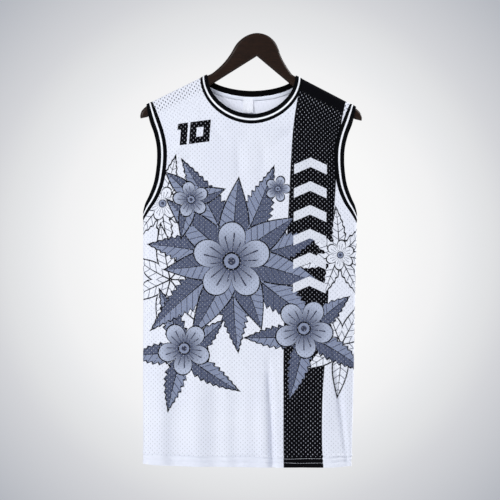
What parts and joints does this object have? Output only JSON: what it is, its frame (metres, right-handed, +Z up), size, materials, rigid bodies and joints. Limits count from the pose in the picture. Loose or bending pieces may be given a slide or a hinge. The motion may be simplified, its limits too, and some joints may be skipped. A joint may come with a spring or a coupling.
{
  "type": "basketball jersey on hanger",
  "caption": "Sleeveless printed mesh jersey with striped rib bindings at neck and armholes, hanging on a flat dark wooden hanger.",
  "frame": {"origin": "top of the hanger's crown, where the hanger is held", "axes": "+Z up, -Y towards the garment's front, +X towards the wearer's left"},
  "size_m": [0.42, 0.0513, 0.8245],
  "materials": {
    "white_mesh": "knitted polyester mesh, soft sheen, dye-printed",
    "striped_rib": "rib knit, black with a white stripe",
    "white_tape": "woven tape, matt",
    "dark_wood": "stained and satin varnished"
  },
  "bodies": {
    "root": {"hanger": "dark_wood", "front_panel": "white_mesh", "back_panel": "white_mesh", "neck_binding": "striped_rib", "right_armhole_binding": "striped_rib", "left_armhole_binding": "striped_rib", "neck_tape": "white_tape", "neck_label": "white_tape"}
  },
  "joints": []
}
